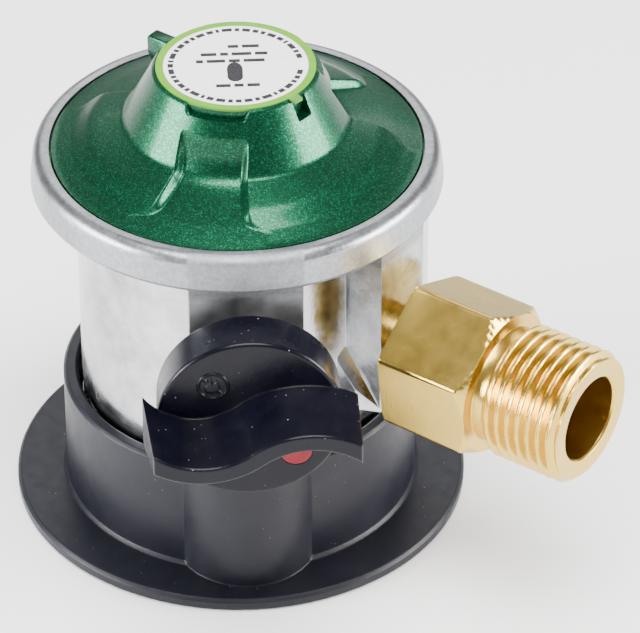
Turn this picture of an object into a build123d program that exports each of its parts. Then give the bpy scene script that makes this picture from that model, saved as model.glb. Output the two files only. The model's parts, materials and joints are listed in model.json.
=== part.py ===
from build123d import *
import os
from math import asin, cos, degrees, pi, radians, sin, sqrt

os.makedirs("parts", exist_ok=True)

# Clip-on gas regulator, millimetres. +Z up, origin at the mouth of the valve socket on the body's axis.
# The knob's axis points to -Y, the outlet points to the right and front.

# Die-cast body
body_r = 25.0
skirt_r = 24.4          # the lower length that the locking collar covers
skirt_top = 20.5        # shoulder that the collar spring pushes on
socket_r = 17.6         # takes the 35 mm neck of the cylinder valve
socket_depth = 24.0
socket_chamfer = 0.8
rim_under = 55.4
rim_r = 31.8
rim_top_r = 31.4
rim_top = 63.5
lip_r = 28.8            # inner edge of the rolled lip that holds the cap
lip_under = 62.2
recess_r = 29.8
chamber_r = 21.5
chamber_floor = 50.0
seat_z = 59.0           # the diaphragm's clamped edge lies here

# Front pad and outlet block on the body
pad_half = 8.6
pad_face = 29.5
block_bottom = 28.6     # clears the raised collar
block_r = 29.6

# Knob, spindle and cam
knob_z = 41.0
knob_back = 33.2
knob_face = 40.6
knob_back_r = 13.8
knob_face_r = 14.05
grip_root = 40.4
grip_end = 50.5
grip_lean = 0.75        # the outer end of the grip stands this far towards +X
grip_wave = 2.75        # height of the grip's S wave
grip_wave_half = 8.0    # half the length of each of its two arcs
cavity_r = 6.5          # cam cavity and gland bore
shaft_r = 3.0
cam_low = 3.4
cam_rise = 2.8          # plunger travel over half a turn
gland_inner = 6.9

# Plunger
plunger_r = 2.5
plunger_tip = 17.0
plunger_gap = 0.15
plunger_top = knob_z - cam_low - plunger_gap
spring_floor = 28.5

# Locking collar and balls
collar_r = 28.0
collar_top = 21.8
flange_r = 36.0
flange_t = 2.15
collar_bore = 25.6
land_r = 24.8           # narrow land that holds the balls in
land_top = 11.5
ball_z = 9.0
ball_r = 4.0
ball_track = 20.65      # distance of the locked balls from the axis
ramp = 0.15             # the collar's cone moves the balls by this much per mm of lift
counterbore_r = 26.4
counterbore_z = 1.5
bulge_r = 11.0
bulge_y = -21.5

# Outlet
outlet_z = 39.26
outlet_angle = -39.0
outlet_end = 65.4
outlet_bore = 6.63
thread_r = 10.4775      # G 1/2 crest radius
thread_start = 51.8
neck_r = 9.1
hex_flats = 22.0
hex_back = 34.6
hex_front = 49.9
port_r = 4.2
port_mouth = 31.0       # flat seat of the outlet block
port_half = 5.5         # half the width of that seat
passage_r = 3.0
shoulder_r = 5.3

# Valve lever in the chamber
nozzle_y = 13.0
nozzle_top = 52.0
pivot_y = 9.0
pivot_z = 53.8
diaphragm_travel = 1.0
lever_rest = degrees(asin(diaphragm_travel / pivot_y))

# Diaphragm stack, cap and spring
sheet_t = 0.8
plate_r = 15.0
plate_t = 0.8
cap_flange_r = 29.6
cap_edge_r = 28.5
cap_edge_z = 63.3
hub_r = 12.75
hub_top = 77.5
label_r = 12.27
label_t = 0.5
label_top = 77.6
plug_r = 9.5
valley_count = 3
valley_turn = -106.0    # direction of the front valley, from +X
fin_turn = -130.0
fin_r = 16.4
fin_t = 2.4

knob_plane = Plane(origin=(0, 0, knob_z), x_dir=(1, 0, 0), z_dir=(0, -1, 0))
out_dir = (cos(radians(outlet_angle)), sin(radians(outlet_angle)), 0)
out_side = (-out_dir[1], out_dir[0], 0)
out_plane = Plane(origin=(0, 0, outlet_z), x_dir=out_side, z_dir=out_dir)
lever_plane = Plane(origin=(0, pivot_y, pivot_z)).rotated((lever_rest, 0, 0))


def at(radius, turn, height):
    """A point given by its radius, its turn from the front towards +X, and its height."""
    return (radius * sin(radians(turn)), -radius * cos(radians(turn)), height)


def radial_plane(turn, height):
    """A plane whose normal points straight out of the body at the given turn from +X."""
    return Plane(origin=(0, 0, height), z_dir=(cos(radians(turn)), sin(radians(turn)), 0))


def coil(radius, wire_r, low, high, turns):
    """A helical compression spring between two heights."""
    rise = high - low - 2 * wire_r
    with BuildPart() as spring:
        with BuildLine() as path:
            Helix(pitch=rise / turns, height=rise, radius=radius, center=(0, 0, low + wire_r))
        with BuildSketch(Plane(origin=path.line @ 0, z_dir=path.line % 0)):
            Circle(wire_r)
        sweep(path=path.line, is_frenet=True)
    return spring


seat_corner = (
    port_mouth * out_dir[0] - port_half * out_side[0],
    port_mouth * out_dir[1] - port_half * out_side[1],
)

# ---- body: die casting with the valve socket, the knob bore, the outlet port and the rolled rim

with BuildPart() as ledge:
    # Sloping ledge below the pocket between the barrel and the outlet block
    with BuildSketch(Plane.XY.offset(block_bottom)):
        with BuildLine():
            Polyline(
                at(20, 34, 0)[:2], at(25.4, 34.4, 0)[:2], at(28.3, 36.6, 0)[:2],
                seat_corner, at(20, 50, 0)[:2], close=True,
            )
        make_face()
    extrude(amount=12)
    ledge_top = Plane(origin=at(25, 37.2, 38), x_dir=(1, 0, 0), z_dir=(0.14, -0.87, 0.47))
    split(bisect_by=ledge_top, keep=Keep.BOTTOM)

with BuildPart() as body:
    with BuildSketch(Plane.XZ):
        with BuildLine():
            Polyline(
                (0, 0), (skirt_r, 0), (skirt_r, skirt_top), (body_r, skirt_top), (body_r, rim_under),
                (rim_r - 0.5, 57.6), (rim_r, 58.3), (rim_top_r, 61.7),
            )
            ThreePointArc((rim_top_r, 61.7), (30.9, 62.95), (29.8, rim_top))
            Polyline(
                (29.8, rim_top), (lip_r, rim_top), (lip_r, lip_under), (recess_r, lip_under),
                (recess_r, seat_z), (chamber_r, seat_z), (chamber_r, chamber_floor),
                (0, chamber_floor), (0, 0),
            )
        make_face()
    revolve(axis=Axis.Z)

    # Flat pad behind the knob
    with BuildSketch(Plane.XY.offset(block_bottom)):
        with Locations((0, -(pad_face + 17) / 2)):
            Rectangle(2 * pad_half, pad_face - 17)
    extrude(amount=57 - block_bottom)

    # Outlet block under the rim, with a flat seat square to the outlet
    with BuildSketch(Plane.XY.offset(block_bottom)):
        Circle(block_r)
        with BuildLine():
            Polyline(
                at(5, 40, 0)[:2], at(24.5, 40, 0)[:2], at(block_r + 0.1, 44, 0)[:2],
                at(60, 60, 0)[:2], at(60, 97, 0)[:2], at(5, 97, 0)[:2], close=True,
            )
        make_face(mode=Mode.INTERSECT)
    extrude(amount=58 - block_bottom)
    with BuildSketch(Plane(origin=(0, 0, block_bottom), x_dir=out_dir, z_dir=(0, 0, 1))):
        with Locations(((port_mouth + 20) / 2, 0)):
            Rectangle(port_mouth - 20, 2 * port_half)
    extrude(amount=58 - block_bottom)
    add(ledge.part)

    # Socket, seal recess and the chamber cleared of the added blocks
    with BuildSketch(Plane.XY):
        Circle(socket_r)
    extrude(amount=socket_depth, mode=Mode.SUBTRACT)
    with BuildSketch(Plane.XY.offset(socket_depth)):
        Circle(15.0)
    extrude(amount=0.8, mode=Mode.SUBTRACT)
    with BuildSketch(Plane.XY):
        Circle(socket_r + socket_chamfer)
    extrude(amount=socket_chamfer, taper=45, mode=Mode.SUBTRACT)
    with BuildSketch(Plane.XY.offset(chamber_floor)):
        Circle(chamber_r)
    extrude(amount=seat_z - chamber_floor, mode=Mode.SUBTRACT)

    # Retaining ring groove
    with BuildSketch(Plane.XY.offset(0.5)):
        Circle(skirt_r + 1)
        Circle(23.4, mode=Mode.SUBTRACT)
    extrude(amount=0.95, mode=Mode.SUBTRACT)

    # Ball holes, narrower at the inner end so that the balls can't fall through
    for turn in (90, 210, 330):
        with BuildSketch(radial_plane(turn, ball_z).offset(10)):
            Circle(3.3)
        extrude(amount=10, mode=Mode.SUBTRACT)
        with BuildSketch(radial_plane(turn, ball_z).offset(18.2)):
            Circle(ball_r + 0.05)
        extrude(amount=8, mode=Mode.SUBTRACT)

    # Gland bore with the cam cavity, and the passage to the nozzle
    with BuildSketch(knob_plane.offset(-7)):
        Circle(cavity_r)
    extrude(amount=7 + pad_face + 1, mode=Mode.SUBTRACT)
    with BuildSketch(knob_plane.offset(-14)):
        Circle(2.2)
    extrude(amount=9, mode=Mode.SUBTRACT)
    with BuildSketch(Plane.XY.offset(knob_z)):
        with Locations((0, nozzle_y)):
            Circle(2.0)
    extrude(amount=6, mode=Mode.SUBTRACT)
    with BuildSketch(Plane.XY.offset(45.5)):
        with Locations((0, nozzle_y)):
            Circle(3.05)
    extrude(amount=6, mode=Mode.SUBTRACT)

    # Plunger bore, its seal groove and the pocket of its spring
    with BuildSketch(Plane.XY.offset(20)):
        Circle(plunger_r + 0.05)
    extrude(amount=knob_z - 20, mode=Mode.SUBTRACT)
    with BuildSketch(Plane.XY.offset(25.6)):
        Circle(3.9)
    extrude(amount=1.5, mode=Mode.SUBTRACT)
    with BuildSketch(Plane.XY.offset(spring_floor)):
        Circle(4.6)
    extrude(amount=knob_z - spring_floor, mode=Mode.SUBTRACT)

    # Outlet port and its way up into the chamber
    with BuildSketch(out_plane.offset(22)):
        Circle(port_r)
    extrude(amount=port_mouth - 22 + 1, mode=Mode.SUBTRACT)
    with BuildSketch(out_plane.offset(17)):
        Circle(passage_r)
    extrude(amount=6, mode=Mode.SUBTRACT)
    with BuildSketch(Plane.XY.offset(outlet_z)):
        with Locations((17.3 * out_dir[0], 17.3 * out_dir[1])):
            Circle(4.0)
    extrude(amount=chamber_floor - outlet_z + 0.5, mode=Mode.SUBTRACT)
body.part.label = "body"
export_step(body.part, "parts/body.step")

# ---- locking collar: sleeve, base flange and the front bulge that rises behind the knob

with BuildPart() as locking_collar:
    with BuildSketch(Plane.XZ):
        cone_low = land_r + ramp * (ball_z - counterbore_z)
        with BuildLine():
            Polyline(
                (counterbore_r, 0), (flange_r - 0.4, 0), (flange_r, 0.4), (flange_r, flange_t - 0.5),
                (flange_r - 0.5, flange_t), (collar_r + 0.5, flange_t), (collar_r, flange_t + 0.5),
                (collar_r, collar_top - 0.5), (collar_r - 0.5, collar_top), (26.1, collar_top),
                (collar_bore, collar_top - 0.7), (collar_bore, land_top), (land_r, land_top),
                (land_r, ball_z), (cone_low, counterbore_z), (counterbore_r, counterbore_z), close=True,
            )
        make_face()
    revolve(axis=Axis.Z)
    with BuildSketch(Plane.XY):
        with Locations((0, bulge_y)):
            Circle(bulge_r)
        Circle(collar_r - 0.8, mode=Mode.SUBTRACT)
    extrude(amount=collar_top)
    bulge_rim = locking_collar.edges().filter_by(GeomType.CIRCLE).group_by(Axis.Z)[-1]
    fillet([edge for edge in bulge_rim if abs(edge.radius - bulge_r) < 0.01], radius=0.5)
    with BuildSketch(Plane.XY):
        with Locations((0, bulge_y)):
            Circle(bulge_r - 1.9)
        Circle(collar_r - 0.6, mode=Mode.SUBTRACT)
    extrude(amount=collar_top - 2, mode=Mode.SUBTRACT)
locking_collar.part.label = "locking_collar"
export_step(locking_collar.part, "parts/locking_collar.step")

collar_spring = coil(radius=25.0, wire_r=0.4, low=land_top + 0.1, high=skirt_top - 0.1, turns=2.4)
collar_spring.part.label = "collar_spring"
export_step(collar_spring.part, "parts/collar_spring.step")

with BuildPart() as collar_retaining_ring:
    with BuildSketch(Plane.XY.offset(0.55)):
        Circle(26.2)
        Circle(23.5, mode=Mode.SUBTRACT)
        with Locations((0, 25)):
            Rectangle(8, 6, mode=Mode.SUBTRACT)
    extrude(amount=0.8)
collar_retaining_ring.part.label = "collar_retaining_ring"
export_step(collar_retaining_ring.part, "parts/collar_retaining_ring.step")

for number, turn in enumerate((90, 210, 330), start=1):
    with BuildPart() as locking_ball:
        with Locations((ball_track * cos(radians(turn)), ball_track * sin(radians(turn)), ball_z)):
            Sphere(ball_r)
    locking_ball.part.label = f"locking_ball_{number}"
    export_step(locking_ball.part, f"parts/locking_ball_{number}.step")

# ---- knob: disc with an S-shaped grip


def grip_outline(half_thick, half_length):
    """The S outline in the knob's plane: two arcs each way, with plain ends."""
    arc_r = (grip_wave_half**2 + grip_wave**2) / (2 * grip_wave)
    drop = arc_r - grip_wave
    middle = -half_thick * grip_wave_half / arc_r

    def crest(x):
        return -drop + sqrt((arc_r + half_thick) ** 2 - (x - grip_wave_half) ** 2)

    def hollow(x):
        return drop - sqrt((arc_r - half_thick) ** 2 - (x + grip_wave_half) ** 2)

    left = (-half_length, hollow(-half_length))
    dip = (-grip_wave_half, hollow(-grip_wave_half))
    turn_point = (middle, crest(middle))
    top = (grip_wave_half, crest(grip_wave_half))
    right = (half_length, crest(half_length))
    with BuildSketch() as outline:
        with BuildLine():
            ThreePointArc(left, dip, turn_point)
            ThreePointArc(turn_point, top, right)
            Line(right, (-left[0], -left[1]))
            ThreePointArc((-left[0], -left[1]), (-dip[0], -dip[1]), (-turn_point[0], -turn_point[1]))
            ThreePointArc((-turn_point[0], -turn_point[1]), (-top[0], -top[1]), (-right[0], -right[1]))
            Line((-right[0], -right[1]), left)
        make_face()
    return outline.sketch


grip_root_outline = grip_outline(3.4, 16.0)
grip_end_outline = grip_outline(1.35, 15.4)

with BuildPart() as knob:
    with BuildSketch(knob_plane.offset(knob_back)):
        Circle(knob_back_r)
    with BuildSketch(knob_plane.offset(knob_face)):
        Circle(knob_face_r)
    loft()
    fillet(knob.edges().filter_by(GeomType.CIRCLE).sort_by(Axis.Y)[0], radius=0.6)
    with BuildSketch(knob_plane.offset(grip_root)):
        add(grip_root_outline)
    with BuildSketch(knob_plane.offset(grip_end)):
        with Locations((grip_lean, 0)):
            add(grip_end_outline)
    loft()
    fillet(knob.faces().sort_by(Axis.Y)[0].edges(), radius=0.4)
    # Hub and the hollow back
    with BuildSketch(knob_plane.offset(30.2)):
        Circle(6.0)
    extrude(amount=knob_back - 30.2 + 1)
    with BuildSketch(knob_plane.offset(knob_back)):
        Circle(12.0)
        Circle(6.0, mode=Mode.SUBTRACT)
    extrude(amount=4.4, mode=Mode.SUBTRACT)
    # D-shaped hole for the spindle, the cross hole for its pin and the seat of the red mark
    with BuildSketch(knob_plane.offset(30.2)):
        Circle(shaft_r + 0.05)
        with Locations((shaft_r + 0.35, 0)):
            Rectangle(1.7, 8, mode=Mode.SUBTRACT)
    extrude(amount=8.2, mode=Mode.SUBTRACT)
    with BuildSketch(Plane(origin=(0, -35.4, knob_z - 7), z_dir=(0, 0, 1))):
        Circle(0.82)
    extrude(amount=14, mode=Mode.SUBTRACT)
    with BuildSketch(knob_plane.offset(knob_face - 0.6)):
        with Locations((6.8, -6.15)):
            Circle(2.45)
    extrude(amount=1, mode=Mode.SUBTRACT)
    # Moulded off mark: a flame in a ring, crossed out
    with BuildSketch(knob_plane.offset(knob_face - 0.1)):
        with Locations((-5.5, 6.6)):
            Circle(2.35)
            Circle(2.05, mode=Mode.SUBTRACT)
            Rectangle(4.3, 0.26, rotation=-45)
            Polygon((-1.0, -1.1), (-1.2, -0.2), (-0.3, 1.4), (-0.1, 0.3), (0.6, 1.0), (1.0, -0.3), (0.5, -1.1))
    extrude(amount=0.3)
knob.part.label = "knob"
export_step(knob.part, "parts/knob.step")

with BuildPart() as on_mark:
    with BuildSketch(knob_plane.offset(knob_face - 0.6)):
        with Locations((6.8, -6.15)):
            Circle(2.4)
    extrude(amount=0.7)
    fillet(on_mark.edges().filter_by(GeomType.CIRCLE).sort_by(Axis.Y)[0], radius=0.15)
on_mark.part.label = "on_mark"
export_step(on_mark.part, "parts/on_mark.step")

with BuildPart() as knob_pin:
    with BuildSketch(Plane(origin=(0, -35.4, knob_z - 5.8), z_dir=(0, 0, 1))):
        Circle(0.8)
        Circle(0.4, mode=Mode.SUBTRACT)
    extrude(amount=11.6)
knob_pin.part.label = "knob_pin"
export_step(knob_pin.part, "parts/knob_pin.step")

with BuildPart() as knob_spindle:
    with BuildSketch(knob_plane.offset(-4.5)):
        Circle(shaft_r)
    extrude(amount=4.5 + 38.2)
    with BuildSketch(knob_plane.offset(29.9)):
        with Locations((shaft_r + 0.3, 0)):
            Rectangle(1.7, 8)
    extrude(amount=9, mode=Mode.SUBTRACT)
    with BuildSketch(knob_plane.offset(5.6)):
        Circle(5.0)
    extrude(amount=1.1)
    # Cam whose radius grows evenly over half a turn, then falls back
    with BuildSketch(knob_plane.offset(-3)):
        with BuildLine():
            rise_points = []
            for step in range(-1, 10):
                angle = radians(-90 - 22.5 * step)
                radius = cam_low + cam_rise * min(max(step / 8, 0), 1)
                rise_points.append((radius * cos(angle), radius * sin(angle)))
            Spline(*rise_points)
            Spline(rise_points[-1], (4.9 * cos(radians(15)), 4.9 * sin(radians(15))), rise_points[0])
        make_face()
    extrude(amount=6)
    with BuildSketch(Plane(origin=(0, -35.4, knob_z - 5), z_dir=(0, 0, 1))):
        Circle(0.82)
    extrude(amount=10, mode=Mode.SUBTRACT)
knob_spindle.part.label = "knob_spindle"
export_step(knob_spindle.part, "parts/knob_spindle.step")

with BuildPart() as spindle_gland:
    with BuildSketch(knob_plane.offset(gland_inner)):
        Circle(cavity_r - 0.03)
        Circle(shaft_r + 0.05, mode=Mode.SUBTRACT)
    extrude(amount=pad_face - gland_inner)
    with BuildSketch(knob_plane.offset(10)):
        Circle(4.65)
    extrude(amount=1.7, mode=Mode.SUBTRACT)
spindle_gland.part.label = "spindle_gland"
export_step(spindle_gland.part, "parts/spindle_gland.step")

with BuildPart() as spindle_seal:
    with BuildSketch(Plane.YZ):
        with Locations((-10.85, knob_z + 3.87)):
            Circle(0.75)
    revolve(axis=Axis((0, 0, knob_z), (0, 1, 0)))
spindle_seal.part.label = "spindle_seal"
export_step(spindle_seal.part, "parts/spindle_seal.step")

# ---- plunger group, in the web above the valve socket

with BuildPart() as plunger:
    with BuildSketch(Plane.XY.offset(plunger_tip)):
        Circle(plunger_r)
    extrude(amount=plunger_top - plunger_tip - 1.6)
    with BuildSketch(Plane.XY.offset(35.0)):
        Circle(4.2)
    extrude(amount=0.8)
    with BuildSketch(Plane.XZ):
        with BuildLine():
            Line((0, 35.5), (0, plunger_top))
            RadiusArc((0, plunger_top), (1.6, plunger_top - 1.6), 1.6)
            Polyline((1.6, plunger_top - 1.6), (1.6, 35.5), (0, 35.5))
        make_face()
    revolve(axis=Axis.Z)
    with BuildSketch(Plane.XY.offset(plunger_tip)):
        Circle(1.0)
    extrude(amount=13, mode=Mode.SUBTRACT)
    with BuildSketch(Plane.XZ.offset(-4)):
        with Locations((0, 29.4)):
            Circle(0.7)
    extrude(amount=8, mode=Mode.SUBTRACT)
plunger.part.label = "plunger"
export_step(plunger.part, "parts/plunger.step")

plunger_spring = coil(radius=3.6, wire_r=0.35, low=spring_floor + 0.05, high=34.95, turns=4)
plunger_spring.part.label = "plunger_spring"
export_step(plunger_spring.part, "parts/plunger_spring.step")

with BuildPart() as plunger_seal:
    with BuildSketch(Plane.XZ):
        with Locations((3.23, 26.35)):
            Circle(0.65)
    revolve(axis=Axis.Z)
plunger_seal.part.label = "plunger_seal"
export_step(plunger_seal.part, "parts/plunger_seal.step")

with BuildPart() as inlet_seal:
    with BuildSketch(Plane.XY.offset(socket_depth - 1.2)):
        Circle(14.9)
        Circle(8.0, mode=Mode.SUBTRACT)
    extrude(amount=2.0)
    fillet(inlet_seal.edges().group_by(Axis.Z)[0], radius=0.4)
inlet_seal.part.label = "inlet_seal"
export_step(inlet_seal.part, "parts/inlet_seal.step")

# ---- nozzle, filter and the rocking lever in the chamber

with BuildPart() as inlet_filter:
    with BuildSketch(Plane.XY.offset(45.5)):
        with Locations((0, nozzle_y)):
            Circle(3.0)
    extrude(amount=1.0)
inlet_filter.part.label = "inlet_filter"
export_step(inlet_filter.part, "parts/inlet_filter.step")

with BuildPart() as nozzle:
    with BuildSketch(Plane.XY.offset(46.5)):
        with Locations((0, nozzle_y)):
            Circle(3.0)
    extrude(amount=4.5)
    with BuildSketch(Plane.XY.offset(51.0)):
        with Locations((0, nozzle_y)):
            Circle(3.4)
    extrude(amount=0.5)
    with BuildSketch(Plane.XY.offset(51.5)):
        with Locations((0, nozzle_y)):
            Circle(1.6)
    extrude(amount=nozzle_top - 51.5)
    with BuildSketch(Plane.XY.offset(46.5)):
        with Locations((0, nozzle_y)):
            Circle(0.9)
    extrude(amount=nozzle_top - 46.5, mode=Mode.SUBTRACT)
nozzle.part.label = "nozzle"
export_step(nozzle.part, "parts/nozzle.step")

with BuildPart() as lever_bracket:
    with BuildSketch(Plane.XY.offset(chamber_floor)):
        with Locations((0, 11.8)):
            Rectangle(9.2, 9.6)
        with Locations((0, nozzle_y)):
            Circle(3.05, mode=Mode.SUBTRACT)
    extrude(amount=1.0)
    with BuildSketch(Plane.XY.offset(chamber_floor + 1.0)):
        with Locations((-4.1, pivot_y), (4.1, pivot_y)):
            Rectangle(1.0, 3.6)
    extrude(amount=pivot_z + 1.5 - chamber_floor - 1.0)
    with BuildSketch(Plane.YZ.offset(-6)):
        with Locations((pivot_y, pivot_z)):
            Circle(0.82)
    extrude(amount=12, mode=Mode.SUBTRACT)
lever_bracket.part.label = "lever_bracket"
export_step(lever_bracket.part, "parts/lever_bracket.step")

with BuildPart() as lever_pin:
    with BuildSketch(Plane.YZ.offset(-5)):
        with Locations((pivot_y, pivot_z)):
            Circle(0.8)
    extrude(amount=10)
lever_pin.part.label = "lever_pin"
export_step(lever_pin.part, "parts/lever_pin.step")

with BuildPart() as valve_lever:
    with BuildSketch(lever_plane.offset(-0.5)):
        with Locations((0, 3.4)):
            Rectangle(5.6, 7.0)
        with Locations((0, -5.6)):
            Rectangle(2.6, 11.2)
    extrude(amount=1.0)
    with BuildSketch(Plane.YZ.offset(-3.2)):
        with Locations((pivot_y, pivot_z)):
            Circle(1.5)
    extrude(amount=6.4)
    with BuildSketch(Plane.YZ.offset(-4)):
        with Locations((pivot_y, pivot_z)):
            Circle(0.86)
    extrude(amount=8, mode=Mode.SUBTRACT)
    with BuildSketch(lever_plane.offset(-1)):
        with Locations((0, nozzle_y - pivot_y)):
            Circle(0.9)
    extrude(amount=2, mode=Mode.SUBTRACT)
valve_lever.part.label = "valve_lever"
export_step(valve_lever.part, "parts/valve_lever.step")

with BuildPart() as valve_pad:
    with BuildSketch(lever_plane.offset(-1.75)):
        with Locations((0, nozzle_y - pivot_y)):
            Circle(2.2)
    extrude(amount=1.25)
    with BuildSketch(lever_plane.offset(-0.5)):
        with Locations((0, nozzle_y - pivot_y)):
            Circle(0.88)
    extrude(amount=1.0)
    with BuildSketch(lever_plane.offset(0.5)):
        with Locations((0, nozzle_y - pivot_y)):
            Circle(1.4)
    extrude(amount=0.6)
valve_pad.part.label = "valve_pad"
export_step(valve_pad.part, "parts/valve_pad.step")

# ---- diaphragm stack and the main spring

with BuildPart() as diaphragm:
    with BuildSketch(Plane.XZ):
        with BuildLine():
            Polyline((16.5, seat_z), (1.85, seat_z), (1.85, seat_z + sheet_t), (16.1, seat_z + sheet_t))
            ThreePointArc((16.1, seat_z + sheet_t), (18.5, seat_z + 2.6), (20.9, seat_z + sheet_t))
            Polyline(
                (20.9, seat_z + sheet_t), (cap_flange_r, seat_z + sheet_t), (cap_flange_r, seat_z),
                (20.5, seat_z),
            )
            ThreePointArc((20.5, seat_z), (18.5, seat_z + 1.8), (16.5, seat_z))
        make_face()
    revolve(axis=Axis.Z)
diaphragm.part.label = "diaphragm"
export_step(diaphragm.part, "parts/diaphragm.step")

sheet_top = seat_z + sheet_t
with BuildPart() as diaphragm_plate:
    with BuildSketch(Plane.XY.offset(sheet_top)):
        Circle(plate_r)
        Circle(1.85, mode=Mode.SUBTRACT)
    extrude(amount=plate_t)
    with BuildSketch(Plane.XY.offset(sheet_top + plate_t)):
        Circle(6.9)
        Circle(6.2, mode=Mode.SUBTRACT)
    extrude(amount=1.2)
diaphragm_plate.part.label = "diaphragm_plate"
export_step(diaphragm_plate.part, "parts/diaphragm_plate.step")

with BuildPart() as diaphragm_washer:
    with BuildSketch(Plane.XY.offset(seat_z - 0.8)):
        Circle(9.0)
        Circle(1.85, mode=Mode.SUBTRACT)
    extrude(amount=0.8)
diaphragm_washer.part.label = "diaphragm_washer"
export_step(diaphragm_washer.part, "parts/diaphragm_washer.step")

with BuildPart() as diaphragm_stem:
    window_z = pivot_z - diaphragm_travel
    with BuildSketch(Plane.XY.offset(50.6)):
        Circle(2.7)
    extrude(amount=seat_z - 0.8 - 50.6)
    with BuildSketch(Plane.XY.offset(seat_z - 0.8)):
        Circle(1.8)
    extrude(amount=0.8 + sheet_t + plate_t)
    with BuildSketch(Plane.XY.offset(sheet_top + plate_t)):
        Circle(3.2)
    extrude(amount=0.9)
    with BuildSketch(Plane.XZ.offset(-4)):
        with Locations((0, window_z)):
            Rectangle(3.1, 2.2)
    extrude(amount=8, mode=Mode.SUBTRACT)
diaphragm_stem.part.label = "diaphragm_stem"
export_step(diaphragm_stem.part, "parts/diaphragm_stem.step")

main_spring = coil(radius=7.8, wire_r=0.75, low=sheet_top + plate_t + 0.05, high=71.35, turns=3.6)
main_spring.part.label = "main_spring"
export_step(main_spring.part, "parts/main_spring.step")

with BuildPart() as adjusting_screw:
    with BuildSketch(Plane.XY.offset(71.4)):
        Circle(plug_r - 0.05)
    extrude(amount=4.8)
    with BuildSketch(Plane.XY.offset(73.7)):
        RegularPolygon(radius=4.6, side_count=6)
    extrude(amount=2.5, mode=Mode.SUBTRACT)
adjusting_screw.part.label = "adjusting_screw"
export_step(adjusting_screw.part, "parts/adjusting_screw.step")

# ---- cap: domed cover with three valleys, a vent notch and a small gusset beside the hub

with BuildPart() as valley:
    with BuildSketch(Plane.XZ):
        with BuildLine():
            Polyline(
                (14.6, 80), (14.6, 69.0), (15.2, 67.6), (16.6, 66.8), (24.3, 64.7), (26.5, 64.0), (26.5, 80),
                close=True,
            )
        make_face()
    revolve(axis=Axis.Z)
    with BuildSketch(Plane.XY.offset(60)):
        with BuildLine():
            Polyline((13, -4.3), (18, -5.1), (22, -6.2))
            ThreePointArc((22, -6.2), (24.4, -7.6), (25.5, -10.5))
            Line((25.5, -10.5), (25.5, 10.5))
            ThreePointArc((25.5, 10.5), (24.4, 7.6), (22, 6.2))
            Polyline((22, 6.2), (18, 5.1), (13, 4.3), (13, -4.3))
        make_face()
    extrude(amount=20, mode=Mode.INTERSECT)

with BuildPart() as cap:
    with BuildSketch(Plane.XZ):
        with BuildLine():
            Polyline(
                (0, 69.5), (0, hub_top), (hub_r - 0.4, hub_top), (hub_r, hub_top - 0.4), (14.2, 74.2),
                (17.3, 68.4), (22.2, 66.6),
            )
            ThreePointArc((22.2, 66.6), (23.7, 65.9), (24.4, 64.9))
            Polyline(
                (24.4, 64.9), (cap_edge_r, cap_edge_z), (cap_edge_r, 62.1), (cap_flange_r, 62.1),
                (cap_flange_r, sheet_top), (24.2, sheet_top), (23.4, 62.3), (14.5, 64.9), (12.0, 66.2),
                (10.4, 69.5), (0, 69.5),
            )
        make_face()
    revolve(axis=Axis.Z)
    with BuildSketch(Plane.XY.offset(sheet_top + 8)):
        Circle(plug_r)
    extrude(amount=14, mode=Mode.SUBTRACT)
    with BuildSketch(Plane.XY.offset(label_top - label_t)):
        Circle(label_r + 0.08)
    extrude(amount=2, mode=Mode.SUBTRACT)
    with PolarLocations(0, valley_count, start_angle=valley_turn):
        add(valley.part, mode=Mode.SUBTRACT)
    # Small gusset beside the hub above the left valley, and the vent notch at the front right
    with BuildSketch(Plane(origin=(0, 0, 0), x_dir=at(1, fin_turn, 0), z_dir=at(1, fin_turn - 90, 0))):
        with BuildLine():
            Polyline((12.5, 70.5), (12.5, hub_top), (fin_r, hub_top), (fin_r, 74.2), (13.9, 70.5), close=True)
        make_face()
    extrude(amount=fin_t / 2, both=True)
    with BuildSketch(Plane.XY.offset(74.2)):
        with Locations(Plane(origin=at(13.3, 45, 0), x_dir=at(1, 45, 0), z_dir=(0, 0, 1)).location):
            Rectangle(2.6, 2.6)
    extrude(amount=5, mode=Mode.SUBTRACT)
cap.part.label = "cap"
export_step(cap.part, "parts/cap.step")

with BuildPart() as label:
    with BuildSketch(Plane.XY.offset(label_top - label_t)):
        Circle(label_r)
        with Locations(Plane(origin=at(12.7, 42, 0), x_dir=at(1, 42, 0), z_dir=(0, 0, 1)).location):
            Rectangle(1.8, 1.5)
    extrude(amount=label_t)
label.part.label = "label"
export_step(label.part, "parts/label.step")

# ---- outlet: brass hexagon adapter and its seal

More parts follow.
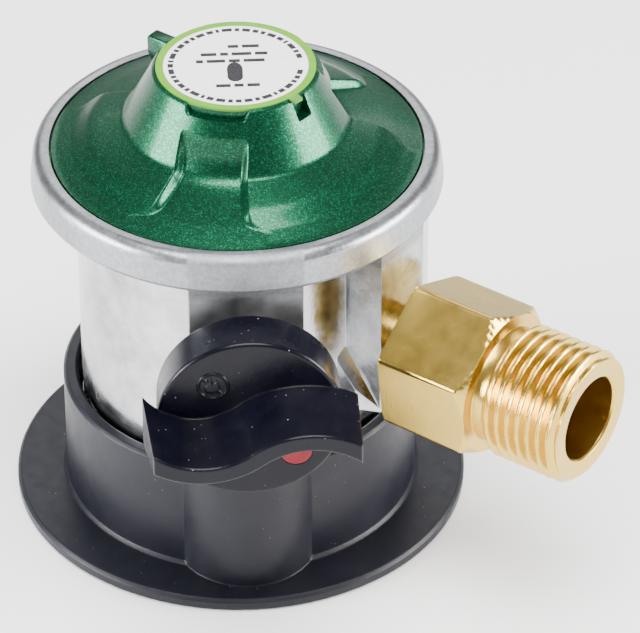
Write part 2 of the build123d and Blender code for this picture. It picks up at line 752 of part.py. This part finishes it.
with BuildPart() as outlet_adapter:
    with BuildSketch(out_plane.offset(hex_back)):
        RegularPolygon(radius=hex_flats / 2, side_count=6, major_radius=False, rotation=68)
    extrude(amount=hex_front - hex_back)
    # Both ends of the hexagon are chamfered by turning
    with BuildSketch(Plane(origin=(0, 0, outlet_z), x_dir=out_dir, z_dir=(-out_side[0], -out_side[1], 0))):
        with BuildLine():
            Polyline(
                (hex_back, 0), (hex_back, 12.2), (hex_back + 0.4, 13.0), (hex_front - 1.6, 13.0),
                (hex_front, 10.4), (hex_front, 0), close=True,
            )
        make_face()
    revolve(axis=Axis((0, 0, outlet_z), out_dir), mode=Mode.INTERSECT)
    with BuildSketch(out_plane.offset(22.6)):
        Circle(port_r - 0.03)
    extrude(amount=port_mouth - 22.6)
    with BuildSketch(out_plane.offset(port_mouth)):
        Circle(shoulder_r)
    extrude(amount=hex_back - port_mouth)
    with BuildSketch(out_plane.offset(hex_front)):
        Circle(neck_r)
    extrude(amount=thread_start - hex_front)
    with BuildSketch(out_plane.offset(thread_start)):
        Circle(thread_r)
    extrude(amount=outlet_end - thread_start)
    chamfer(outlet_adapter.faces().sort_by(Axis(origin=(0, 0, outlet_z), direction=out_dir))[-1].edges(), 0.9)
    with BuildSketch(out_plane.offset(20)):
        Circle(passage_r)
    extrude(amount=20, mode=Mode.SUBTRACT)
    with BuildSketch(out_plane.offset(38)):
        Circle(outlet_bore)
    extrude(amount=30, mode=Mode.SUBTRACT)
outlet_adapter.part.label = "outlet_adapter"
export_step(outlet_adapter.part, "parts/outlet_adapter.step")

with BuildPart() as outlet_seal:
    with BuildSketch(out_plane.offset(22.02)):
        Circle(port_r - 0.1)
        Circle(passage_r + 0.2, mode=Mode.SUBTRACT)
    extrude(amount=0.56)
outlet_seal.part.label = "outlet_seal"
export_step(outlet_seal.part, "parts/outlet_seal.step")
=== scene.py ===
import json
import math

import bpy
import numpy as np
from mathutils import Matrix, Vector


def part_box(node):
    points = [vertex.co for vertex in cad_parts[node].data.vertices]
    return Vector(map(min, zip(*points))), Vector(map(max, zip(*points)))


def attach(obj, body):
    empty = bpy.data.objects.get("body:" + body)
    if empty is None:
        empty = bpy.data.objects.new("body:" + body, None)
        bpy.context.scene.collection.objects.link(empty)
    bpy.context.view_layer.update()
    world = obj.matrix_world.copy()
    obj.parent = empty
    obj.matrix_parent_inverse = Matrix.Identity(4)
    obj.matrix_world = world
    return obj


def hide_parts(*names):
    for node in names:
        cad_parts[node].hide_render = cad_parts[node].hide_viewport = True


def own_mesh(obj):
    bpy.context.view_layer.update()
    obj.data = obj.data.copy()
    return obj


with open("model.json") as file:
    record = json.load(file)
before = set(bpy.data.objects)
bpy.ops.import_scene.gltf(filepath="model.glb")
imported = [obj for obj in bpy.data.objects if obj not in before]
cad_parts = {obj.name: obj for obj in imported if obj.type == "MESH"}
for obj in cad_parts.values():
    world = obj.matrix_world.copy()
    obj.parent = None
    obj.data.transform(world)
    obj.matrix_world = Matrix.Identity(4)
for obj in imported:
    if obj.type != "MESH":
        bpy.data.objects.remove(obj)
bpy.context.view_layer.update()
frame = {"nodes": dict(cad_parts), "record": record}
MM = 0.001


# ---- node materials

class Paint:
    """A node material put together one node at a time. Coordinates are metres in the piece's own frame."""

    def __init__(self, name, **values):
        self.material = bpy.data.materials.new(name)
        self.material.use_nodes = True
        self.tree = self.material.node_tree
        self.shader = self.tree.nodes["Principled BSDF"]
        self.place = self.add("ShaderNodeTexCoord").outputs["Object"]
        for key, value in values.items():
            self.shader.inputs[key.replace("_", " ")].default_value = value

    def add(self, kind, **settings):
        node = self.tree.nodes.new(kind)
        for key, value in settings.items():
            setattr(node, key, value)
        return node

    def join(self, output, socket):
        self.tree.links.new(output, socket)

    def math(self, operation, a, b=0.0, clamp=False):
        node = self.add("ShaderNodeMath", operation=operation, use_clamp=clamp)
        for socket, value in zip(node.inputs, (a, b)):
            if isinstance(value, (int, float)):
                socket.default_value = value
            else:
                self.join(value, socket)
        return node.outputs[0]

    def noise(self, scale, detail=3.0, rough=0.5):
        node = self.add("ShaderNodeTexNoise")
        self.join(self.place, node.inputs["Vector"])
        node.inputs["Scale"].default_value = scale
        node.inputs["Detail"].default_value = detail
        node.inputs["Roughness"].default_value = rough
        return node.outputs["Fac"]

    def cells(self, scale, output="Color"):
        node = self.add("ShaderNodeTexVoronoi")
        self.join(self.place, node.inputs["Vector"])
        node.inputs["Scale"].default_value = scale
        return node.outputs[output]

    def ramp(self, value, low, high, out_low=0.0, out_high=1.0, smooth=False):
        """out_low at low, out_high at high, and in between."""
        node = self.add("ShaderNodeMapRange")
        if smooth:
            node.interpolation_type = "SMOOTHSTEP"
        self.join(value, node.inputs["Value"])
        for key, number in (("From Min", low), ("From Max", high), ("To Min", out_low), ("To Max", out_high)):
            node.inputs[key].default_value = number
        return node.outputs["Result"]

    def colours(self, factor, first, second):
        node = self.add("ShaderNodeMix", data_type="RGBA")
        self.join(factor, node.inputs[0])
        for socket, value in ((node.inputs[6], first), (node.inputs[7], second)):
            if isinstance(value, tuple):
                socket.default_value = (*value, 1.0)
            else:
                self.join(value, socket)
        return node.outputs[2]

    def parts(self):
        node = self.add("ShaderNodeSeparateXYZ")
        self.join(self.place, node.inputs[0])
        return node.outputs

    def along(self, direction):
        node = self.add("ShaderNodeVectorMath", operation="DOT_PRODUCT")
        self.join(self.place, node.inputs[0])
        node.inputs[1].default_value = direction
        return node.outputs["Value"]

    def surface(self, height, strength, edge=0.0):
        """Fine relief from height, with the part's edges eased by edge metres."""
        bump = self.add("ShaderNodeBump")
        bump.inputs["Strength"].default_value = strength
        bump.inputs["Distance"].default_value = 0.0001
        self.join(height, bump.inputs["Height"])
        if edge:
            eased = self.add("ShaderNodeBevel", samples=6)
            eased.inputs["Radius"].default_value = edge
            self.join(eased.outputs["Normal"], bump.inputs["Normal"])
        self.join(bump.outputs["Normal"], self.shader.inputs["Normal"])

    def colour(self, output):
        self.join(output, self.shader.inputs["Base Color"])

    def roughness(self, output):
        self.join(output, self.shader.inputs["Roughness"])


def cast_metal():
    paint = Paint("cast_metal", Metallic=1.0)
    mottle = paint.noise(170, 6, 0.66)
    grain = paint.noise(1500, 3, 0.6)
    x, y, z = paint.parts()
    rim = paint.ramp(z, 0.0548, 0.0562)
    pad = paint.math("MULTIPLY", paint.ramp(y, -0.0292, -0.0286, 1.0, 0.0),
                     paint.ramp(paint.math("ABSOLUTE", x), 0.0085, 0.0088, 1.0, 0.0))
    barrel = paint.colours(paint.ramp(mottle, 0.32, 0.68), (0.36, 0.365, 0.38), (0.64, 0.645, 0.655))
    worn = paint.colours(paint.ramp(grain, 0.3, 0.7), (0.25, 0.26, 0.275), (0.36, 0.37, 0.385))
    paint.colour(paint.colours(rim, barrel, worn))
    patchy = paint.ramp(mottle, 0.3, 0.72, 0.10, 0.32)
    satin = paint.math("ADD", patchy, paint.math("MULTIPLY", rim, 0.15))
    paint.roughness(paint.math("ADD", satin, paint.math("MULTIPLY", pad, 0.22)))
    relief = paint.math("ADD", grain, paint.math("MULTIPLY", mottle, 2.5))
    paint.surface(relief, 0.2, 0.00022)
    return paint.material


def green_paint():
    paint = Paint("green_paint", Metallic=0.8, Roughness=0.34, Coat_Weight=0.14, Coat_Roughness=0.10)
    spread = paint.add("ShaderNodeSeparateColor")
    paint.join(paint.cells(7600), spread.inputs[0])
    fleck = paint.ramp(spread.outputs[0], 0.78, 1.0)
    tone = paint.ramp(paint.noise(2600, 3, 0.6), 0.3, 0.7)
    base = paint.colours(tone, (0.0, 0.034, 0.0125), (0.0002, 0.064, 0.026))
    paint.colour(paint.colours(fleck, base, (0.012, 0.19, 0.10)))
    paint.surface(paint.noise(1300, 3, 0.6), 0.14)
    return paint.material


def label_film():
    paint = Paint("label_film", Roughness=0.4, Specular_IOR_Level=0.25)
    x, y, _ = paint.parts()
    radius = paint.math("SQRT", paint.math("ADD", paint.math("MULTIPLY", x, x), paint.math("MULTIPLY", y, y)))
    lime = paint.ramp(radius, 0.01100, 0.01108)
    inner, outer = paint.ramp(radius, 0.01095, 0.01100), paint.ramp(radius, 0.01108, 0.01114, 1.0, 0.0)
    line = paint.math("MULTIPLY", inner, outer)
    # Painted shade: edge darkens the film's outer rim towards dark green, as the shade line where the film's
    # edge meets the cap; the line inside the lime ring is print.
    edge = paint.ramp(radius, 0.01212, 0.01220, 0.0, 0.55)
    # ink joins the printed line to the painted shade at the rim.
    ink = paint.math("ADD", paint.math("MULTIPLY", line, 0.5), edge, clamp=True)
    tone = paint.ramp(paint.noise(500, 3, 0.5), 0.3, 0.7)
    white = paint.colours(tone, (0.88, 0.89, 0.88), (0.94, 0.94, 0.93))
    green = paint.colours(tone, (0.095, 0.30, 0.001), (0.12, 0.35, 0.002))
    paint.colour(paint.colours(ink, paint.colours(lime, white, green), (0.06, 0.16, 0.05)))
    paint.surface(paint.noise(900, 2, 0.5), 0.04)
    return paint.material


def label_ink():
    paint = Paint("label_ink", Roughness=0.5, Specular_IOR_Level=0.15)
    tone = paint.ramp(paint.noise(2500, 2, 0.5), 0.3, 0.7)
    paint.colour(paint.colours(tone, (0.012, 0.012, 0.014), (0.035, 0.035, 0.04)))
    return paint.material


def black_plastic(name, dark, light, rough, dust, shine):
    paint = Paint(name, Specular_IOR_Level=shine)
    tone = paint.ramp(paint.noise(220, 5, 0.6), 0.3, 0.7)
    spread = paint.add("ShaderNodeSeparateColor")
    paint.join(paint.cells(1900), spread.inputs[0])
    near = paint.ramp(paint.cells(1900, "Distance"), 0.10, 0.22, 1.0, 0.0)
    speck = paint.math("MULTIPLY", paint.ramp(spread.outputs[0], 0.955, 0.99, 0.0, dust), near)
    paint.colour(paint.colours(speck, paint.colours(tone, dark, light), (0.45, 0.46, 0.50)))
    paint.roughness(paint.ramp(paint.noise(420, 4, 0.6), 0.3, 0.7, rough - 0.04, rough + 0.05))
    paint.surface(paint.noise(2600, 3, 0.6), 0.10, 0.0004)
    return paint.material


def red_plastic():
    paint = Paint("red_plastic", Roughness=0.3, Specular_IOR_Level=0.25)
    tone = paint.ramp(paint.noise(700, 3, 0.5), 0.3, 0.7)
    paint.colour(paint.colours(tone, (0.19, 0.001, 0.010), (0.27, 0.003, 0.018)))
    paint.surface(paint.noise(1800, 2, 0.5), 0.05, 0.0001)
    return paint.material


def brass(edge=0.0):
    paint = Paint("brass", Metallic=1.0)
    direction = (math.cos(math.radians(-39)), math.sin(math.radians(-39)), 0.0)
    turning = paint.add("ShaderNodeTexNoise", noise_dimensions="1D")
    paint.join(paint.along(direction), turning.inputs["W"])
    turning.inputs["Scale"].default_value = 5200
    turning.inputs["Detail"].default_value = 2.0
    tarnish = paint.ramp(paint.noise(120, 3, 0.5), 0.3, 0.72)
    paint.colour(paint.colours(tarnish, (0.645, 0.43, 0.088), (0.70, 0.485, 0.112)))
    paint.roughness(paint.ramp(paint.noise(380, 4, 0.6), 0.3, 0.7, 0.21, 0.28))
    height = paint.math("ADD", turning.outputs["Fac"], paint.noise(1700, 3, 0.5))
    paint.surface(height, 0.09, edge)
    return paint.material


def plain(name, dark, light, metallic, rough, scale, relief=0.08):
    paint = Paint(name, Metallic=metallic)
    tone = paint.ramp(paint.noise(scale, 4, 0.6), 0.3, 0.7)
    paint.colour(paint.colours(tone, dark, light))
    paint.roughness(paint.ramp(paint.noise(scale * 1.7, 3, 0.6), 0.3, 0.7, rough - 0.05, rough + 0.06))
    paint.surface(paint.noise(scale * 3, 3, 0.6), relief, 0.0001)
    return paint.material


materials = {
    "cast_metal": cast_metal(),
    "green_paint": green_paint(),
    "label_film": label_film(),
    "black_plastic": black_plastic("black_plastic", (0.0035, 0.0037, 0.0075), (0.0065, 0.0067, 0.012),
                                   0.40, 0.3, 0.29),
    "red_plastic": red_plastic(),
    "brass": brass(0.0001),
    "sintered_bronze": plain("sintered_bronze", (0.36, 0.22, 0.12), (0.62, 0.42, 0.24), 1.0, 0.5, 1900, 0.5),
    "steel": plain("steel", (0.48, 0.49, 0.51), (0.66, 0.67, 0.69), 1.0, 0.24, 420),
    "rubber": plain("rubber", (0.012, 0.012, 0.012), (0.028, 0.028, 0.028), 0.0, 0.6, 700),
}
knob_plastic = black_plastic("knob_plastic", (0.0012, 0.0012, 0.004), (0.003, 0.003, 0.007), 0.24, 0.6, 0.2)
ink = label_ink()

slot_of = {part["node"]: part["material_slot"] for part in frame["record"]["subparts"]}


def dress(obj, material):
    obj.data.materials.clear()
    obj.data.materials.append(material)


for name, obj in frame["nodes"].items():
    dress(obj, knob_plastic if name == "knob" else materials[slot_of[name]])


# ---- mesh helpers

def piece(name, points, faces, material, body, node, sharp=28.0):
    """A smooth-shaded mesh that stands for a CAD node and moves with its body. Points are in millimetres."""
    mesh = bpy.data.meshes.new(name)
    mesh.from_pydata((np.asarray(points) * MM).tolist(), [], faces)
    mesh.validate()
    obj = bpy.data.objects.new(name, mesh)
    bpy.context.scene.collection.objects.link(obj)
    for polygon in mesh.polygons:
        polygon.use_smooth = True
    mesh.set_sharp_from_angle(angle=math.radians(sharp))
    dress(obj, material)
    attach(obj, body)
    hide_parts(node)
    return obj


def loop_grid(grid):
    """Points and quads of a closed grid that joins up in both directions; grid is angles x stations x 3."""
    count, stations = grid.shape[:2]
    faces = []
    for i in range(count):
        here, there = i * stations, ((i + 1) % count) * stations
        for j in range(stations):
            k = (j + 1) % stations
            faces.append((here + j, there + j, there + k, here + k))
    return grid.reshape(-1, 3), faces


def prism(outline, low, high):
    """Points and faces of a flat star-shaped plate from its outline and two heights."""
    n = len(outline)
    centre = np.mean(outline, axis=0)
    points = [(*p, low) for p in outline] + [(*p, high) for p in outline] + [(*centre, low), (*centre, high)]
    faces = []
    for i in range(n):
        j = (i + 1) % n
        faces += [(i, j, n + j, n + i), (2 * n, j, i), (2 * n + 1, n + i, n + j)]
    return points, faces


def smooth(low, high, x):
    """0 at low, 1 at high, and an S curve in between."""
    t = np.clip((x - low) / (high - low), 0, 1)
    return t * t * (3 - 2 * t)


def from_turn(angle, turn):
    """How far angle is from turn, in degrees from -180 to 180."""
    return (angle - turn + 180) % 360 - 180


# ---- cap: one height field over the turned shape, with the three valleys pressed into it

# Radii and heights are millimetres, and turns are degrees from +X
VALLEYS = (-106.0, 14.0, 134.0)
VALLEY_WALL = (-0.75, 0.45)
NOTCH_TURN, NOTCH_HALF, NOTCH_REACH, NOTCH_FLOOR, NOTCH_EASE = 45.0 - 90.0, 1.3, 14.6, 74.2, 0.12
SEAT_R = 12.4     # the notch stops at the label's seat
CREASE_R = 13.1   # the hub's top edge, inside this radius, keeps its corners
CONE_R = 19.5     # out to here corners are eased over a short span, and beyond over a long one
dome_r = [12.35, 12.75, 12.76, 14.2, 17.3, 22.2, 22.75, 23.3, 23.85, 24.4, 28.5]
dome_z = [77.5, 77.1, 77.08, 74.2, 68.4, 66.6, 66.36, 66.06, 65.6, 64.9, 63.3]
valley_r = [14.3, 14.45, 14.75, 15.15, 15.6, 16.15, 16.8, 17.6, 19.0, 24.3, 26.5, 28.5]
valley_z = [76.0, 72.6, 70.6, 69.2, 68.3, 67.6, 67.1, 66.75, 66.3, 64.75, 64.0, 63.3]
width_r = [12.0, 13.0, 18.0, 22.0, 23.4, 24.4, 25.1, 25.5, 28.5]
width_w = [4.2, 4.3, 5.1, 6.2, 6.7, 7.6, 8.8, 10.5, 10.5]


def eased(x, xs, ys, span):
    """The line through the given points, averaged over span so that its corners are round."""
    return np.mean([np.interp(x + d, xs, ys) for d in np.linspace(-span / 2, span / 2, 13)], axis=0)


def cap_height(radius, angle):
    """Height of the cap's outside over each radius and angle."""
    skirt = np.where(radius < CONE_R, eased(radius, dome_r, dome_z, 0.8), eased(radius, dome_r, dome_z, 2.2))
    dome = np.where(radius < CREASE_R, np.interp(radius, dome_r, dome_z), skirt)
    floor = np.minimum(eased(radius, valley_r, valley_z, 0.5), dome)
    height = dome.copy()
    for turn in VALLEYS:
        away = np.radians(from_turn(angle, turn))
        side = np.abs(radius * np.sin(away))
        inside = smooth(*VALLEY_WALL, eased(radius, width_r, width_w, 1.2) - side) * (np.cos(away) > 0)
        height = height + (floor - dome) * inside
    away = np.radians(from_turn(angle, NOTCH_TURN))
    across, out = np.abs(radius * np.sin(away)), radius * np.cos(away)
    within = smooth(-NOTCH_EASE, NOTCH_EASE, NOTCH_HALF - across)
    notch = within * smooth(-NOTCH_EASE, NOTCH_EASE, NOTCH_REACH - out) * (np.cos(away) > 0)
    return np.where(radius > SEAT_R, height + (np.minimum(height, NOTCH_FLOOR) - height) * notch, height)


# Close rows of points where the walls of the valleys and the notch stand, and wide ones between
steps = [np.arange(-60, -28, 1.0), np.arange(-28, -11, 0.25), np.arange(-11, 11, 1.0),
         np.arange(11, 28, 0.25), np.arange(28, 60, 1.0)]
angles = np.concatenate([turn + np.concatenate(steps) for turn in VALLEYS])
angles = np.unique(np.concatenate([angles, NOTCH_TURN + np.arange(-9, 9, 0.3)]) % 360)
radii = np.concatenate([[12.35, 12.45, 12.6, 12.75], np.arange(12.85, 17.9, 0.11), np.arange(18.0, 21.8, 0.3),
                        np.arange(21.9, 26.6, 0.14), np.arange(26.8, 28.3, 0.3), [28.3, 28.44]])
top = cap_height(radii[None, :] * np.ones((len(angles), 1)), angles[:, None] * np.ones((1, len(radii))))
under = [(28.5, 63.2), (28.5, 62.1), (29.6, 62.1), (29.6, 61.75), (24.2, 61.75), (23.4, 62.3), (14.5, 64.7),
         (12.0, 66.2), (10.4, 69.5), (9.6, 69.9), (9.6, 76.9), (9.8, 77.1), (12.25, 77.1), (12.35, 77.2)]
sheet_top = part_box("cap")[0].z / MM
under = [(r, max(z, sheet_top)) for r, z in under]
profile_r = np.concatenate([radii, [p[0] for p in under]])
grid = np.zeros((len(angles), len(profile_r), 3))
grid[:, :, 0] = np.cos(np.radians(angles))[:, None] * profile_r
grid[:, :, 1] = np.sin(np.radians(angles))[:, None] * profile_r
grid[:, :len(radii), 2] = top
grid[:, len(radii):, 2] = [p[1] for p in under]
points, faces = loop_grid(grid)
piece("cap_cover", points, [f[::-1] for f in faces], materials["green_paint"], "housing",
      "cap", 50)

# ---- small gusset beside the hub, towards the back left: its outline in layers, the outer ones drawn in

GUSSET_TURN = -130 - 90
fin = math.radians(GUSSET_TURN)
out = np.array((math.cos(fin), math.sin(fin), 0.0))
side = np.array((-out[1], out[0], 0.0))
rim = [(12.45, 70.6), (13.9, 70.6), (16.05, 73.85), (16.3, 74.3), (16.3, 77.0), (16.0, 77.35), (12.45, 77.35)]
layers = [(-1.2, 0.25), (-1.05, 0.07), (-0.8, 0.0), (0.8, 0.0), (1.05, 0.07), (1.2, 0.25)]
middle = np.mean(rim, axis=0)
points, faces = [], []
for offset, inset in layers:
    for r, z in rim:
        direction = middle - np.array((r, z))
        r2, z2 = np.array((r, z)) + direction / np.linalg.norm(direction) * inset
        points.append(out * r2 + side * offset + np.array((0, 0, z2)))
n = len(rim)
for a in range(len(layers) - 1):
    for i in range(n):
        j = (i + 1) % n
        faces.append((a * n + i, a * n + j, (a + 1) * n + j, (a + 1) * n + i))
faces += [tuple(range(n))[::-1], tuple((len(layers) - 1) * n + i for i in range(n))]
piece("cap_gusset", points, faces, materials["green_paint"], "housing", "cap", 50)

# ---- label: a printed film with plain marks in place of the print

TAB_TURN, TAB_HALF, TAB_REACH = 42.0 - 90.0, 3.4, 13.55
LABEL_R, LABEL_LOW, LABEL_HIGH = 12.2, 77.12, 77.56
outline = []
for angle in np.arange(0, 360, 1.5):
    reach = TAB_REACH if abs(from_turn(angle, TAB_TURN)) < TAB_HALF else LABEL_R
    outline.append((reach * math.cos(math.radians(angle)), reach * math.sin(math.radians(angle))))
points, faces = prism(outline, LABEL_LOW, LABEL_HIGH)
piece("label_disc", points, faces, materials["label_film"], "housing", "label")


def arc_bar(radius, start, end, half):
    """Outline of a short printed bar that follows a circle."""
    turn = np.radians(np.linspace(start, end, 6))
    inner = [((radius - half) * math.cos(t), (radius - half) * math.sin(t)) for t in turn]
    outer = [((radius + half) * math.cos(t), (radius + half) * math.sin(t)) for t in turn]
    return inner + outer[::-1]


BAR_HALF, BAR_GAP = 0.42, 0.55
RING_R, RING_START, RING_END, RING_GAP = 9.9, 8.0, 350, 2.6
RING_BARS = (7, 4, 9, 3, 6, 8, 4, 5)
ROWS = ((5.2, -1.0, (1.6, 2.6)), (3.1, -5.2, (2.4, 1.2, 3.0, 1.9)),
        (1.2, -6.0, (1.1, 2.8, 1.7, 3.2)), (-5.6, -3.2, (2.2, 1.4, 1.9)))
PRINT_LOW, PRINT_HIGH = 77.55, 77.585

bars = []
angle = RING_START
while angle < RING_END:
    turn = RING_BARS[len(bars) % len(RING_BARS)]
    bars.append(arc_bar(RING_R, angle, angle + turn, BAR_HALF))
    angle += turn + RING_GAP
for height, left, widths in ROWS:
    low, high = height - BAR_HALF, height + BAR_HALF
    for width in widths:
        bars.append([(left, low), (left + width, low), (left + width, high), (left, high)])
        left += width + BAR_GAP
# The generic flame: a circle drawn out to a point at the top
flame = []
for t in np.linspace(0, 2 * math.pi, 40, endpoint=False):
    reach = 1.55 * (1 - 0.25 * math.cos(2 * t)) * (1 + 0.75 * max(0.0, math.sin(t)) ** 6)
    flame.append((reach * math.cos(t) - 0.2, reach * math.sin(t) - 2.6))
bars.append(flame)
points, faces = [], []
for bar in bars:
    more, sides = prism(bar, PRINT_LOW, PRINT_HIGH)
    faces += [tuple(len(points) + i for i in f) for f in sides]
    points += more
piece("label_print", points, faces, ink, "housing", "label")

# ---- outlet adapter: hexagon, neck and a real G 1/2 thread

OUTLET = math.radians(-39.0)
axis = np.array((math.cos(OUTLET), math.sin(OUTLET), 0.0))
across = np.array((-axis[1], axis[0], 0.0))
upward = np.array((0.0, 0.0, 1.0))
OUTLET_Z = 39.26
PITCH, CREST, ROOT = 1.814, 10.4775, 9.3155
HEX_TURN, HEX_HALF, HEX_CORNER = 68.0, 11.0, 12.55
SPIGOT_R, SHOULDER_R, NECK_R, BORE_R, PASSAGE_R = 4.17, 5.3, 9.1, 6.63, 3.0
# Places along the outlet's axis, from the body's axis
SPIGOT_END, SEAT, BORE_END = 22.6, 31.0, 38.0
HEX_BACK, HEX_FRONT, THREAD_START, MOUTH = 34.6, 49.9, 51.8, 65.4
LEAD = 0.95       # how far the thread's end is chamfered below its crests


def hexagon(turn):
    """Distance from the axis to a hexagon 22 mm across flats whose corners are slightly round."""
    off = (turn - HEX_TURN + 30) % 60 - 30
    sharp = HEX_HALF / np.cos(np.radians(off))
    return np.minimum(sharp, HEX_CORNER)


def thread(turn, length):
    """Distance from the axis to a right-hand thread, with a chamfer at both ends."""
    phase = (length / PITCH - turn / 360.0) % 1.0
    ridge = np.abs(phase - 0.5) * 2
    shape = np.clip((ridge - 0.14) / 0.70, 0, 1)
    shape = 0.75 * shape + 0.25 * shape * shape * (3 - 2 * shape)
    cut = ROOT + (CREST - ROOT) * shape
    start = ROOT - 0.2 + (length - THREAD_START) * 1.2
    end = CREST - LEAD + (MOUTH - length)
    return np.minimum(cut, np.maximum(np.minimum(start, end), NECK_R))


turns = np.arange(0, 360, 1.0)
stations = [(SPIGOT_END, 3.4, "round"), (SPIGOT_END + 0.3, SPIGOT_R, "round"), (SEAT, SPIGOT_R, "round"),
            (SEAT, SHOULDER_R, "round"), (HEX_BACK, SHOULDER_R, "round"), (HEX_BACK, 8.6, "round")]
for length in (HEX_BACK, 34.75, 34.9, 35.05):
    stations.append((length, 12.15 + (length - HEX_BACK) * 2.0, "hexagon"))
stations += [(length, 13.0, "hexagon") for length in np.arange(36.4, 48.6, 1.2)]
for length in (48.5, 48.8, 49.2, 49.6, HEX_FRONT):
    stations.append((length, 11.15 + (HEX_FRONT - length) * 1.15, "hexagon"))
stations += [(HEX_FRONT, 9.5, "round"), (50.0, 9.2, "round")]
stations += [(50.3, NECK_R, "round"), (51.6, NECK_R, "round")]
stations += [(length, None, "thread") for length in np.arange(THREAD_START, MOUTH - 0.02, 0.09)]
stations += [(MOUTH, CREST - LEAD, "round"), (MOUTH, 9.2, "round"), (MOUTH, 7.15, "round"),
             (65.3, 6.85, "round"), (65.0, BORE_R, "round")]
stations += [(length, BORE_R, "round") for length in np.arange(62, 39, -3.0)]
stations += [(BORE_END, BORE_R, "round"), (BORE_END, PASSAGE_R, "round"), (SPIGOT_END, PASSAGE_R, "round")]
angle = np.radians(turns)
grid = np.zeros((len(turns), len(stations), 3))
for j, (length, radius, form) in enumerate(stations):
    if form == "hexagon":
        reach = np.minimum(hexagon(turns), radius)
    elif form == "thread":
        reach = thread(turns, length)
    else:
        reach = np.full(len(turns), radius)
    grid[:, j] = (axis * length + upward * OUTLET_Z + (reach * np.cos(angle))[:, None] * across
                  + (reach * np.sin(angle))[:, None] * upward)
points, faces = loop_grid(grid)
piece("outlet_fitting", points, [f[::-1] for f in faces], materials["brass"], "housing",
      "outlet_adapter", 24)

# ---- springs: each spring gets a mesh of its own

# Spring, joint, the end that stays, and how much shorter the spring gets over the joint's range, in metres
SPRINGS = (("collar_spring", "collar_lift", "top", 0.006),
           ("plunger_spring", "plunger_push", "bottom", 0.0028),
           ("main_spring", "diaphragm_lift", "top", 0.001))
for node, joint, fixed, shorter in SPRINGS:
    low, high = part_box(node)
    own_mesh(frame["nodes"][node])

# ---- floor, lights and camera

def floor_piece():
    mesh = bpy.data.meshes.new("floor")
    half = 3.0
    corners = [(-half, -half, 0), (half, -half, 0), (half, half, 0), (-half, half, 0)]
    mesh.from_pydata(corners, [], [(0, 1, 2, 3)])
    obj = bpy.data.objects.new("floor", mesh)
    bpy.context.scene.collection.objects.link(obj)
    obj.location.z = -0.05 * MM
    paint = Paint("floor", Roughness=0.7)
    tone = paint.ramp(paint.noise(3, 2, 0.5), 0.3, 0.7)
    paint.colour(paint.colours(tone, (0.94, 0.94, 0.94), (0.96, 0.96, 0.96)))
    obj.data.materials.append(paint.material)


floor_piece()


def softbox(name, place, target, wide, high, power):
    light = bpy.data.lights.new(name, "AREA")
    light.shape, light.size, light.size_y, light.energy = "RECTANGLE", wide, high, power
    obj = bpy.data.objects.new(name, light)
    bpy.context.scene.collection.objects.link(obj)
    obj.location = place
    direction = np.array(target) - np.array(place)
    obj.rotation_euler = Vector(direction).to_track_quat("-Z", "Y").to_euler()


CENTRE = (0.0, 0.0, 0.05)
softbox("left", (-0.75, -0.18, 0.24), CENTRE, 0.45, 0.3, 17.0)
softbox("right", (0.75, -0.12, 0.24), CENTRE, 0.45, 0.3, 17.0)
softbox("back", (0.05, 0.85, 0.62), CENTRE, 0.9, 0.4, 3.5)
softbox("top", (0.0, -0.25, 1.1), CENTRE, 0.7, 0.7, 26.0)

world = bpy.data.worlds.new("studio")
bpy.context.scene.world = world
world.use_nodes = True
sky = world.node_tree.nodes["Background"]
sky.inputs["Color"].default_value = (1, 1, 1, 1)
sky.inputs["Strength"].default_value = 0.38

camera = bpy.data.cameras.new("camera")
camera.sensor_fit = "HORIZONTAL"
camera.sensor_width = 36.0
camera.lens = 243.8
eye = bpy.data.objects.new("camera", camera)
bpy.context.scene.collection.objects.link(eye)
eye.location = (-0.01996, -0.55086, 0.43474)
eye.rotation_euler = (math.radians(53.73), 0.0, math.radians(-3.4))
bpy.context.scene.camera = eye
